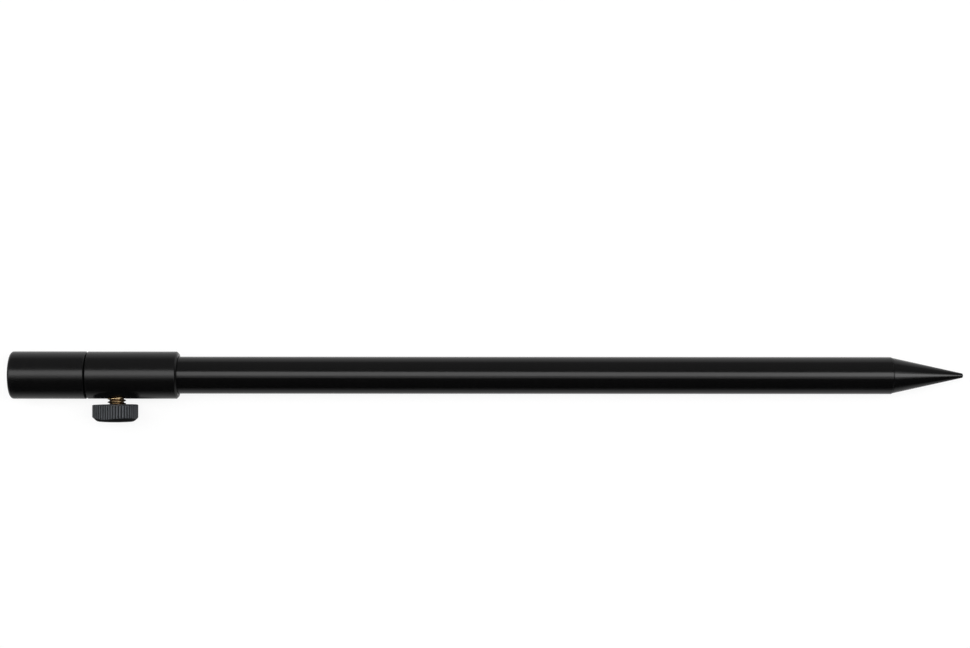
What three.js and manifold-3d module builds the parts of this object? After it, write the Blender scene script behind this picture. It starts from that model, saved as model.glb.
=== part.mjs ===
// Telescopic bank stick, lying along X. The tip of the ground point is the origin, the head is at -X,
// and the thumb screw of the collar points to -Y. Lengths are millimetres, and Z is up.
import * as THREE from 'three';
import { mergeVertices } from 'three/addons/utils/BufferGeometryUtils.js';
import Module from 'manifold-3d';

const wasm = await Module();
wasm.setup();

// Clearances
const bondGap = 0.1;
const slideGap = 0.1;
const seatGap = 0.15;
const cutOverrun = 1;

// Stem, the inner tube that pulls out
const stemDiameter = 12.7;
const stemWall = 1;
const stemEdge = 0.2;

// Main tube
const tubePlay = 0.45;
const tubeWall = 1.2;
const tubeShowing = 308;
const tubeEdge = 0.25;

// Collar on the main tube
const collarLength = 39.4;
const collarWall = 2.1;
const seamEdge = 0.4;
const collarEndEdge = 1;
const collarBorePlay = 0.15;
const screwSetback = 12.6;
const shoulderSetback = 7.3;

// Guide bush in the collar's mouth
const bushWall = 1;
const bushWeb = 2;
const flangeReach = 1.1;
const flangeThickness = 1.2;

// Head, its threaded insert, and the buffer ring in the seam
const headLength = 32.8;
const headWall = 3.8;
const headEdge = 1;
const headWeb = 2.3;
const seamWidth = 0.3;
const ringSection = 2;
const insertLength = 14.8;
const insertWall = 1.5;
const headThreadMajor = 9.53;
const headThreadPitch = 1.27;
const insertMouth = 0.5;

// Lower end of the stem
const glideLength = 8;
const glideSlot = 1.6;
const glideEdge = 0.25;
const plugDepth = 12;
const plugFlange = 2;
const plugEdge = 0.3;
const closedClearance = 13.3;

// Ground point
const pointStep = 0.25;
const spigotLength = 20;
const spigotEdge = 0.5;
const coneLength = 31;
const coneNose = 1;
const noseLength = 0.5;
const coneEdge = 0.2;

// Thumb screw: stud and pad
const studMajor = 7.94;
const studPitch = 1.411;
const studShowing = 2.75;
const studEdge = 0.6;
const studPlay = 0.15;
const studCrestReach = 1.7;
const shankShare = 0.88;
const shankLength = 4.6;
const padShowing = 0.5;
const padRadius = 2;
const padLength = 3.2;
const padEdge = 0.2;

// Thumb screw: three-lobed knob
const lobeCircle = 3.61;
const lobeRadius = 6.92;
const lobeAngle = Math.PI / 3;
const ribCount = 48;
const ribDepth = 0.4;
const knobHeight = 7.4;
const knobRimHeight = 5.25;
const knobChamferRise = 0.9;
const knobCrownDrop = 0.25;
const knobEdge = 0.4;
const bossReach = 0.4;
const bossHeight = 0.3;
const faceRadius = 5.21;
const capRadius = 3.61;
const capThickness = 1.5;
const capGroove = 0.2;
const capEdge = 0.2;

// Thread forms, as shares of the pitch, and how finely round things are cut
const threadDepthShare = 0.64;
const rootFlatShare = 0.25;
const crestFlatShare = 0.125;
const spareTurns = 2;
const roundSteps = 48;
const threadSteps = 24;
const ringSteps = 8;
const arcSteps = 3;

// Sizes that follow from the ones above
const half = 0.5;
const fullTurn = 2 * Math.PI;
const quarterTurn = fullTurn / 4;
const lobeCount = 3;
const lobeTurn = fullTurn / lobeCount;
const stemRadius = stemDiameter * half;
const stemBore = stemRadius - stemWall;
const tubeBore = stemRadius + tubePlay;
const tubeRadius = tubeBore + tubeWall;
const collarRadius = tubeRadius + bondGap + collarWall;
const headRadius = stemRadius + bondGap + headWall;
const insertRadius = headThreadMajor * half + insertWall;
const studRadius = studMajor * half;
const screwHoleRadius = studRadius + studPlay;
const crestStartShare = half * (1 + rootFlatShare - crestFlatShare);

// Stations along the stick, counted from the face of the head
const insertFloor = insertLength + bondGap;
const socketFloor = insertFloor + headWeb;
const stemStart = socketFloor + bondGap;
const headEnd = headLength;
const collarStart = headEnd + seamWidth;
const collarEnd = collarStart + collarLength;
const screwStation = collarStart + screwSetback;
const tubeStart = screwStation + shoulderSetback + seatGap;
const tubeEnd = collarEnd + tubeShowing;
const tipStation = tubeEnd + coneLength;
const bushEnd = screwStation - screwHoleRadius - bushWeb;
const spigotStart = tubeEnd - spigotLength;
const plugEnd = spigotStart - closedClearance;
const plugFlangeStart = plugEnd - plugFlange;
const glideEnd = plugFlangeStart - seatGap;
const glideStart = glideEnd - glideLength;
const stemEnd = glideStart - seatGap;

// Reaches from the axis of the stick, along the thumb screw
const padReach = stemRadius + slideGap;
const padEnd = padReach + padLength;
const studTipReach = padReach + padShowing;
const knobReach = collarRadius + studShowing;
const shankEnd = knobReach + shankLength;
const capFloor = knobReach + knobHeight - knobCrownDrop - capThickness;

// Finishes
const anodised = { color: 0x17181a, roughness: 0.36, metalness: 0.85 };
const brass = { color: 0xc29a52, roughness: 0.28, metalness: 1 };
const mouldedGrey = { color: 0x2c2e30, roughness: 0.5, metalness: 0 };
const blackNylon = { color: 0x1b1b1c, roughness: 0.6, metalness: 0 };
const whiteNylon = { color: 0xe4e1d8, roughness: 0.55, metalness: 0 };
const blackRubber = { color: 0x101011, roughness: 0.85, metalness: 0 };

// A body turned about X: each profile point is a station and a radius, outer wall towards +X
function turned(profile) {
  const points = profile.map(([station, radius]) => new THREE.Vector2(radius, station));
  return new THREE.LatheGeometry(points, roundSteps).rotateZ(-quarterTurn);
}

// A plain sleeve about X with its four edges bevelled
function sleeve(start, end, bore, radius, edge) {
  const profile = [
    [start, bore + edge],
    [start, radius - edge],
    [start + edge, radius],
    [end - edge, radius],
    [end, radius - edge],
    [end, bore + edge],
    [end - edge, bore],
    [start + edge, bore],
    [start, bore + edge],
  ];
  return turned(profile);
}

// A body turned about the screw's axis, made along +Y: each profile point is a reach and a radius
function turnedOnScrew(profile) {
  const points = profile.map(([reach, radius]) => new THREE.Vector2(radius, reach));
  return new THREE.LatheGeometry(points, roundSteps);
}

function solidFrom(geometry) {
  const shell = geometry.clone();
  shell.deleteAttribute('normal');
  shell.deleteAttribute('uv');
  const merged = mergeVertices(shell);
  const vertProperties = new Float32Array(merged.attributes.position.array);
  const triVerts = new Uint32Array(merged.index.array);
  return new wasm.Manifold(new wasm.Mesh({ numProp: 3, vertProperties, triVerts }));
}

// A skin of loose triangles, whose corners are joined where they meet when it is closed
function startSkin() {
  const corners = [];
  const add = (...spots) => spots.forEach((spot) => corners.push(...spot.toArray()));
  const close = () => {
    const geometry = new THREE.BufferGeometry();
    geometry.setAttribute('position', new THREE.Float32BufferAttribute(corners, 3));
    return mergeVertices(geometry);
  };
  return { add, close };
}

function geometryFrom(solid) {
  const { vertProperties, triVerts } = solid.getMesh();
  const geometry = new THREE.BufferGeometry();
  geometry.setAttribute('position', new THREE.BufferAttribute(vertProperties, 3));
  geometry.setIndex(new THREE.BufferAttribute(triVerts, 1));
  return geometry;
}

function piece(name, geometry, finish) {
  const mesh = new THREE.Mesh(geometry, new THREE.MeshStandardMaterial(finish));
  mesh.name = name;
  return mesh;
}

// Rings of points joined into one closed skin, each end closed to a point on the axis
function lofted(rings, firstCentre, lastCentre) {
  const count = rings[0].length;
  const skin = startSkin();
  for (let k = 0; k < count; k++) {
    const next = (k + 1) % count;
    skin.add(firstCentre, rings[0][next], rings[0][k]);
    for (let row = 1; row < rings.length; row++) {
      skin.add(rings[row - 1][k], rings[row - 1][next], rings[row][next]);
      skin.add(rings[row - 1][k], rings[row][next], rings[row][k]);
    }
    skin.add(lastCentre, rings.at(-1)[k], rings.at(-1)[next]);
  }
  return skin.close();
}

// A right-hand screw thread along +Y: one strip, a pitch wide, winds up the axis. Its edges bound the
// flat root and the flat crest. It starts below zero and ends past the length, to be trimmed.
function threadedRod(crestRadius, pitch, length) {
  const rootRadius = crestRadius - pitch * threadDepthShare;
  const edgeShares = [0, rootFlatShare, crestStartShare, crestStartShare + crestFlatShare];
  const edgeRadii = [rootRadius, rootRadius, crestRadius, crestRadius];
  const edges = edgeShares.length;
  const steps = threadSteps * (Math.ceil(length / pitch) + spareTurns);
  const at = (step, edge) => {
    if (edge === edges) return at(step + threadSteps, 0);
    const angle = fullTurn * (step / threadSteps);
    const height = pitch * (step / threadSteps + edgeShares[edge] - spareTurns);
    return new THREE.Vector3(edgeRadii[edge] * Math.sin(angle), height, edgeRadii[edge] * Math.cos(angle));
  };
  const skin = startSkin();
  const lowCentre = new THREE.Vector3(0, at(0, 0).y, 0);
  const highCentre = new THREE.Vector3(0, at(steps, edges).y, 0);
  for (let step = 0; step < steps; step++) {
    for (let edge = 0; edge < edges; edge++) {
      skin.add(at(step, edge), at(step + 1, edge), at(step, edge + 1));
      skin.add(at(step + 1, edge), at(step + 1, edge + 1), at(step, edge + 1));
    }
  }
  for (let step = 0; step < threadSteps; step++) {
    skin.add(lowCentre, at(step + 1, 0), at(step, 0));
    skin.add(highCentre, at(steps + step, 0), at(steps + step + 1, 0));
  }
  for (let edge = 0; edge < edges; edge++) {
    skin.add(lowCentre, at(0, edge), at(0, edge + 1));
    skin.add(highCentre, at(steps, edge + 1), at(steps, edge));
  }
  return skin.close();
}

function makeMainTube() {
  return piece('main_tube', sleeve(tubeStart, tubeEnd, tubeBore, tubeRadius, tubeEdge), anodised);
}

// The point is one turned bar: a spigot bonded into the tube, a shoulder and a cone with a blunt nose
function makePoint() {
  const spigotRadius = tubeBore - bondGap;
  const shoulder = tubeEnd + bondGap;
  const baseRadius = tubeRadius - pointStep;
  const noseStart = tipStation - noseLength;
  const profile = [
    [spigotStart, 0],
    [spigotStart, spigotRadius - spigotEdge],
    [spigotStart + spigotEdge, spigotRadius],
    [shoulder, spigotRadius],
    [shoulder, baseRadius - coneEdge],
    [shoulder + coneEdge, baseRadius],
    [noseStart, coneNose],
  ];
  for (let step = 1; step < arcSteps; step++) {
    const angle = quarterTurn * (step / arcSteps);
    profile.push([noseStart + noseLength * Math.sin(angle), coneNose * Math.cos(angle)]);
  }
  profile.push([tipStation, 0]);
  return piece('ground_point', turned(profile), anodised);
}

// The collar: a mouth for the guide bush, a bore for the stem, and a seat for the main tube
function makeCollar() {
  const bushSeat = stemRadius + slideGap + bushWall + bondGap;
  const flangeSeat = bushSeat + flangeReach;
  const flangeFloor = collarStart + flangeThickness + bondGap;
  const bushFloor = bushEnd + bondGap;
  const bore = stemRadius + collarBorePlay;
  const tubeSeat = tubeRadius + bondGap;
  const shoulder = tubeStart - seatGap;
  const profile = [
    [collarStart, flangeSeat],
    [collarStart, collarRadius - seamEdge],
    [collarStart + seamEdge, collarRadius],
    [collarEnd - collarEndEdge, collarRadius],
    [collarEnd, collarRadius - collarEndEdge],
    [collarEnd, tubeSeat],
    [shoulder, tubeSeat],
    [shoulder, bore],
    [bushFloor, bore],
    [bushFloor, bushSeat],
    [flangeFloor, bushSeat],
    [flangeFloor, flangeSeat],
    [collarStart, flangeSeat],
  ];
  const holeProfile = [
    [0, 0],
    [0, screwHoleRadius],
    [collarRadius + cutOverrun, screwHoleRadius],
    [collarRadius + cutOverrun, 0],
  ];
  const hole = turnedOnScrew(holeProfile).rotateX(Math.PI).translate(screwStation, 0, 0);
  const solid = solidFrom(turned(profile)).subtract(solidFrom(hole));
  return piece('collar', geometryFrom(solid), anodised);
}

function makeGuideBush() {
  const bore = stemRadius + slideGap;
  const outer = bore + bushWall;
  const flangeRadius = outer + flangeReach;
  const flangeEnd = collarStart + flangeThickness;
  const profile = [
    [collarStart, bore],
    [collarStart, flangeRadius],
    [flangeEnd, flangeRadius],
    [flangeEnd, outer],
    [bushEnd, outer],
    [bushEnd, bore],
    [collarStart, bore],
  ];
  return piece('guide_bush', turned(profile), blackNylon);
}

function makeStem() {
  return piece('stem_tube', sleeve(stemStart, stemEnd, stemBore, stemRadius, stemEdge), anodised);
}

// The plug closes the stem's lower end, and its neck and flange trap the glide ring
function makeEndPlug() {
  const plugRadius = stemBore - bondGap;
  const profile = [
    [stemEnd - plugDepth, 0],
    [stemEnd - plugDepth, plugRadius - plugEdge],
    [stemEnd - plugDepth + plugEdge, plugRadius],
    [plugFlangeStart, plugRadius],
    [plugFlangeStart, stemRadius],
    [plugEnd - plugEdge, stemRadius],
    [plugEnd, stemRadius - plugEdge],
    [plugEnd, 0],
  ];
  return piece('stem_end_plug', turned(profile), blackNylon);
}

// The glide ring is split, so that it springs against the main tube's bore
function makeGlideRing() {
  const outer = tubeBore - slideGap;
  const bore = stemBore - bondGap + slideGap;
  const ring = sleeve(glideStart, glideEnd, bore, outer, glideEdge);
  const slot = new THREE.BoxGeometry(glideLength + cutOverrun, glideSlot, outer + cutOverrun);
  slot.translate((glideStart + glideEnd) * half, 0, (outer + cutOverrun) * half);
  return piece('glide_ring', geometryFrom(solidFrom(ring).subtract(solidFrom(slot))), whiteNylon);
}

// The head: insert at the front, stem socket and buffer ring recess at the back
function makeHead() {
  const insertSeat = insertRadius + bondGap;
  const socket = stemRadius + bondGap;
  const recess = socket + ringSection + bondGap;
  const recessFloor = collarStart - ringSection - seatGap - bondGap;
  const profile = [
    [insertFloor, 0],
    [insertFloor, insertSeat],
    [0, insertSeat],
  ];
  for (let step = 0; step <= arcSteps; step++) {
    const angle = quarterTurn * (step / arcSteps);
    const station = headEdge * (1 - Math.cos(angle));
    profile.push([station, headRadius - headEdge * (1 - Math.sin(angle))]);
  }
  profile.push(
    [headEnd - seamEdge, headRadius],
    [headEnd, headRadius - seamEdge],
    [headEnd, recess],
    [recessFloor, recess],
    [recessFloor, socket],
    [socketFloor, socket],
    [socketFloor, 0],
  );
  return piece('head', turned(profile), anodised);
}

// The insert carries the female thread that rod rests and bite alarms screw into
function makeThreadInsert() {
  const threadRoot = headThreadMajor * half;
  const mouth = threadRoot + insertMouth;
  const profile = [
    [0, 0],
    [0, insertRadius],
    [insertLength, insertRadius],
    [insertLength, 0],
  ];
  const rod = threadedRod(threadRoot, headThreadPitch, insertLength + cutOverrun + cutOverrun);
  rod.translate(0, -cutOverrun, 0).rotateZ(-quarterTurn);
  const mouthProfile = [
    [-cutOverrun, 0],
    [-cutOverrun, mouth + cutOverrun],
    [mouth, 0],
  ];
  const blank = solidFrom(turned(profile));
  const solid = blank.subtract(solidFrom(rod)).subtract(solidFrom(turned(mouthProfile)));
  return piece('head_thread_insert', geometryFrom(solid), brass);
}

// A rubber ring on the stem that cushions the head against the collar when the stick is closed
function makeBufferRing() {
  const section = ringSection * half;
  const middle = stemRadius + bondGap + section;
  const station = collarStart - seatGap - section;
  const profile = [];
  for (let step = 0; step <= ringSteps; step++) {
    const angle = fullTurn * (step / ringSteps);
    profile.push([station - section * Math.cos(angle), middle + section * Math.sin(angle)]);
  }
  return piece('buffer_ring', turned(profile), blackRubber);
}

// The stud: a thread with a bevelled tip, bored for the pad, and a shank held in the knob
function makeStud() {
  const shankRadius = studRadius * shankShare;
  const pocketRadius = padRadius + slideGap;
  const crest = collarRadius + studCrestReach;
  const crestOnLeftShare = crestStartShare + half * crestFlatShare - quarterTurn / fullTurn;
  const turnsBelow = Math.ceil((crest - studTipReach) / studPitch);
  const threadStart = crest - studPitch * (turnsBelow + crestOnLeftShare);
  const envelope = [
    [studTipReach, 0],
    [studTipReach, studRadius - studEdge],
    [studTipReach + studEdge, studRadius],
    [knobReach, studRadius],
    [knobReach, 0],
  ];
  const shank = [
    [knobReach - bossHeight, 0],
    [knobReach - bossHeight, shankRadius],
    [shankEnd, shankRadius],
    [shankEnd, 0],
  ];
  const pocket = [
    [studTipReach - cutOverrun, 0],
    [studTipReach - cutOverrun, pocketRadius],
    [padEnd + slideGap, pocketRadius],
    [padEnd + slideGap, 0],
  ];
  const rod = threadedRod(studRadius, studPitch, knobReach - threadStart).translate(0, threadStart, 0);
  const solid = solidFrom(rod)
    .intersect(solidFrom(turnedOnScrew(envelope)))
    .add(solidFrom(turnedOnScrew(shank)))
    .subtract(solidFrom(turnedOnScrew(pocket)));
  return piece('screw_stud', geometryFrom(solid), brass);
}

// The pad is a loose pin in the stud's tip, which presses on the stem without turning or scoring it
function makePad() {
  const profile = [
    [padReach, 0],
    [padReach, padRadius - padEdge],
    [padReach + padEdge, padRadius],
    [padEnd - padEdge, padRadius],
    [padEnd, padRadius - padEdge],
    [padEnd, 0],
  ];
  return piece('screw_pad', turnedOnScrew(profile), whiteNylon);
}

// The knob's turned outer face at a distance from its axis: a steep chamfer under a shallow crown
function faceReach(radius) {
  const chamfer = knobRimHeight + knobChamferRise * (lobeCircle + lobeRadius - radius);
  const crown = knobHeight - knobCrownDrop * (radius / lobeRadius) ** 2;
  return knobReach + Math.min(chamfer, crown);
}

// A ring round the knob: the triangle of lobe centres grown by a radius, at even steps along its rim.
// Every second point is a rib's valley. Where no reach is given, the ring lies on the outer face.
function knobRing(growth, valleyDepth, reach) {
  const steps = (2 * ribCount) / lobeCount;
  const arc = lobeRadius * lobeTurn;
  const side = 2 * lobeCircle * Math.sin(half * lobeTurn);
  const lobeCentre = (lobe) => {
    const angle = lobeAngle + lobe * lobeTurn;
    return new THREE.Vector2(lobeCircle * Math.cos(angle), lobeCircle * Math.sin(angle));
  };
  const ring = [];
  for (let k = 0; k < 2 * ribCount; k++) {
    const lobe = Math.floor(k / steps);
    const along = ((k % steps) / steps) * (arc + side);
    const turn = Math.min(along / lobeRadius, lobeTurn);
    const angle = lobeAngle + (lobe - half) * lobeTurn + turn;
    const slide = Math.max(along - arc, 0) / side;
    const spot = lobeCentre(lobe).lerp(lobeCentre(lobe + 1), slide);
    const radius = growth - (k % 2) * valleyDepth;
    spot.add(new THREE.Vector2(radius * Math.cos(angle), radius * Math.sin(angle)));
    ring.push(new THREE.Vector3(spot.x, reach ?? faceReach(spot.length()), -spot.y));
  }
  return ring;
}

// The knob: ribbed rim, bevelled face, recess for the cap, a boss round the stud and a blind bore
function makeKnobBody() {
  const recess = capRadius + capGroove;
  const rings = [
    knobRing(lobeRadius - knobEdge, 0, knobReach),
    knobRing(lobeRadius, ribDepth, knobReach + knobEdge),
    knobRing(lobeRadius, ribDepth),
    knobRing(faceRadius, 0),
    knobRing(recess, 0),
    knobRing(recess, 0, capFloor),
  ];
  const shell = lofted(rings, new THREE.Vector3(0, knobReach, 0), new THREE.Vector3(0, capFloor, 0));
  const threadBore = studRadius + bondGap;
  const shankBore = studRadius * shankShare + bondGap;
  const bossTop = knobReach - bossHeight;
  const boss = [
    [bossTop, 0],
    [bossTop, threadBore + bossReach],
    [knobReach, threadBore + bossReach + bossHeight],
    [knobReach + knobEdge, threadBore + bossReach],
    [knobReach + knobEdge, 0],
  ];
  const bore = [
    [bossTop - cutOverrun, 0],
    [bossTop - cutOverrun, threadBore],
    [knobReach + bondGap, threadBore],
    [knobReach + bondGap, shankBore],
    [shankEnd + bondGap, shankBore],
    [shankEnd + bondGap, 0],
  ];
  const solid = solidFrom(shell)
    .add(solidFrom(turnedOnScrew(boss)))
    .subtract(solidFrom(turnedOnScrew(bore)));
  return piece('knob_body', geometryFrom(solid), mouldedGrey);
}

function makeKnobCap() {
  const floor = capFloor + bondGap;
  const rim = knobRing(capRadius, 0).map((spot) => spot.setY(spot.y - capEdge));
  const rings = [knobRing(capRadius, 0, floor), rim, knobRing(capRadius - capEdge, 0)];
  const top = new THREE.Vector3(0, faceReach(0), 0);
  return piece('knob_cap', lofted(rings, new THREE.Vector3(0, floor, 0), top), mouldedGrey);
}

// The thumb screw's pieces are made along +Y and turned together to point to -Y
const thumbScrew = new THREE.Group();
thumbScrew.add(makeStud(), makePad(), makeKnobBody(), makeKnobCap());
thumbScrew.rotation.x = Math.PI;
thumbScrew.position.x = screwStation;

const bankStick = new THREE.Group();
bankStick.add(makeMainTube(), makePoint(), makeCollar(), makeGuideBush());
bankStick.add(makeStem(), makeEndPlug(), makeGlideRing(), makeHead(), makeThreadInsert());
bankStick.add(makeBufferRing(), thumbScrew);
bankStick.position.x = -tipStation;

export default bankStick;
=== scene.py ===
"""Looks of a telescopic bank stick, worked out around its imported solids. Lengths are in metres."""
import math

import bpy
import numpy as np
from mathutils import Matrix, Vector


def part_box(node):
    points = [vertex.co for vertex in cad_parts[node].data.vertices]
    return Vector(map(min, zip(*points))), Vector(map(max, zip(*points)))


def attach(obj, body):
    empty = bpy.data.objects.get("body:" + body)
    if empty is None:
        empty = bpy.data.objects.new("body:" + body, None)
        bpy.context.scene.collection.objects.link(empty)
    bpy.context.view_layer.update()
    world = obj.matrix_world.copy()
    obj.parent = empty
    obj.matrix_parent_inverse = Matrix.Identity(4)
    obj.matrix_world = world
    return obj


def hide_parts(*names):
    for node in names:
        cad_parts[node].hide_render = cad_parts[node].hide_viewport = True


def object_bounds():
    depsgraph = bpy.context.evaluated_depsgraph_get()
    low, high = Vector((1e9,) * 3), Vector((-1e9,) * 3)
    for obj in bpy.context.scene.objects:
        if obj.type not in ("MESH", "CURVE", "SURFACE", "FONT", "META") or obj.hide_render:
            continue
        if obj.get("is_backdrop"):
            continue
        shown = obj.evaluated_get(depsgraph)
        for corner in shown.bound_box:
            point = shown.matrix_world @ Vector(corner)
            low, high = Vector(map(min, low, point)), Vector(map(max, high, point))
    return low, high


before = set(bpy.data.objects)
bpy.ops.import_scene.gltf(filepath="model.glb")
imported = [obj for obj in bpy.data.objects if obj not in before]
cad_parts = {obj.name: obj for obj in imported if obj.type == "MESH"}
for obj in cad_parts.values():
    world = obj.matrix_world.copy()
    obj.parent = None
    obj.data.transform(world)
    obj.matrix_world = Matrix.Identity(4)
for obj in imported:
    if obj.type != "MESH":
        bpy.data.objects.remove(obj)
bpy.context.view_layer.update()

bl_info = {
    "name": "Bank Stick",
    "version": (1, 0, 0),
    "blender": (4, 5, 0),
    "location": "View3D > Sidebar > Bank Stick",
    "description": "Builds the turned tubes, thumb screw and finishes of a telescopic bank stick",
    "category": "Add Mesh",
}

MM = 0.001
FULL_TURN = 2 * math.pi
QUARTER_TURN = math.pi / 2
LOBES = 3
TINY = 1e-7

# How finely shapes are drawn: columns round them, rows along them, and steps in an arc
TURNED_COLUMNS = 256
ARC_STEPS = 6
RING_COLUMNS = 128
RING_ROWS = 24
DRILL_COLUMNS = 96
THREAD_COLUMNS = 144
THREAD_ROWS = 22
RIB_COLUMNS = 14
FOLD_ROWS = 7
RIM_ROWS = 8
CHAMFER_ROWS = 4
FACE_ROWS = 18
LIP_ROWS = 4
PLATE_EDGE_ROWS = 6
PLATE_ROWS = 13
SHARP_ANGLE = math.radians(38)

# Thread forms, as shares of the pitch, and the stud's shank, as a share of its crest
THREAD_DEPTH_SHARE = 0.64
ROOT_FLAT_SHARE = 0.25
CREST_FLAT_SHARE = 0.125
FLANK_SHARE = (1 - ROOT_FLAT_SHARE - CREST_FLAT_SHARE) / 2
CREST_MIDDLE = ROOT_FLAT_SHARE + FLANK_SHARE + CREST_FLAT_SHARE / 2
THREAD_SOFTNESS = 0.05
SHANK_SHARE = 0.88

# Clearances that the solids keep between fixed and sliding pieces
BOND_GAP = 0.1 * MM
SEAT_GAP = 0.15 * MM

# Walls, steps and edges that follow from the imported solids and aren't settings
TUBE_WALL = 1.2 * MM
STEM_WALL = 1 * MM
BUSH_WALL = 1 * MM
BUSH_FLANGE = 1.2 * MM
BUSH_EDGE = 0.15 * MM
CONE_STEP = 0.25 * MM
NOSE_RADIUS = 0.9 * MM
HOLE_LIP = 0.2 * MM
SOCKET_LEAD = 1 * MM
SOCKET_MOUTH = 0.5 * MM
THREAD_LIP = 0.1 * MM

# How far from the stick's axis the screw hole's drill starts, and how far past the wall it ends
DRILL_REACH = 3 * MM

# How far finishes vary: factors of a colour, swings of a roughness, the shares of wear, the scales
# and depth of their noise, and at which values of the noise specks start and are full
ANODISED_TONES = (0.8, 1.2)
ANODISED_SWING = 0.04
WORN_SHARE = 0.6
BRASS_DULL = 0.85
BRASS_SWING = 0.08
BRASS_SMUDGES = 400
BRASS_DENTS = 0.01 * MM
MOULDED_TONES = (0.85, 1.15)
MOULDED_SWING = 0.06
MOULDED_SMUDGES = 180
NYLON_DULL = 0.9
NYLON_SWING = 0.08
NYLON_GRAIN = 2200
DUST_LIGHTER = 4
RUBBER_SWING = 0.1
CLOUD_SCALE = 260
SPECK_START = 0.62
SPECK_FULL = 0.75

# The floor: half its width, how far its bands reach across the stick, where each band's setting
# holds, and between which distances the shade round the knob fades away
FLOOR_HALF = 6
FLOOR_REACH = 0.6
FLOOR_BANDS = (
    (-0.55, "front_horizon"),
    (-0.3, "front_far"),
    (-0.15, "front_far"),
    (-0.045, "front_near"),
    (-0.009, "front_near"),
    (-0.005, "under_stick"),
    (0.005, "under_stick"),
    (0.009, "back_near"),
    (0.06, "back_near"),
    (0.13, "back_middle"),
    (0.25, "back_far"),
)
KNOB_SHADE = (8 * MM, 22 * MM)

# The sky: between which Y parts of a direction it goes from its front level to its back one, and
# its level for the camera
SKY_FROM = -0.2
SKY_TO = 0.9
CAMERA_SKY = 0.96

# Strips that look straight down: setting, place, length and width, and their slant to the stick
STRIPS = (
    ("strip_lamp", (-0.05, 0.235, 1.5), 2.8, 0.64),
    ("end_strip", (0.82, 0.17, 1.49), 1.3, 0.66),
    ("soft_strip", (-0.05, -0.265, 1.5), 2.8, 0.3),
)
STRIP_SLANT = math.radians(7.5)

# Lamps that face the stick's middle: name, factor of their setting and place, and their size
SIDES = (
    ("left_side", 1.6, (-1.6, 0.2, 1.1)),
    ("right_side", 1.0, (1.2, 0.2, 1.1)),
)
SIDE_SIZE = (0.8, 1.0)

# The camera: its place over the stick, its sensor's width in millimetres and how far it sees
CAMERA_X = -0.2066
CAMERA_Y = 0.0222
SENSOR_WIDTH = 36
CAMERA_SIGHT = 50


def length(name, text, default):
    """A size that the sidebar shows as a length."""
    return bpy.props.FloatProperty(
        name=name, description=text, default=default, min=0, precision=5, unit="LENGTH"
    )


def share(name, text, default):
    """A value between none and all."""
    return bpy.props.FloatProperty(
        name=name, description=text, default=default, min=0, max=1, subtype="FACTOR"
    )


def colour(name, text, default):
    """A colour in linear light."""
    return bpy.props.FloatVectorProperty(
        name=name, description=text, default=default, min=0, max=1, size=3, subtype="COLOR"
    )


def strength(name, text, default):
    """How strongly a lamp or the surroundings shine."""
    return bpy.props.FloatProperty(name=name, description=text, default=default, min=0)


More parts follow.
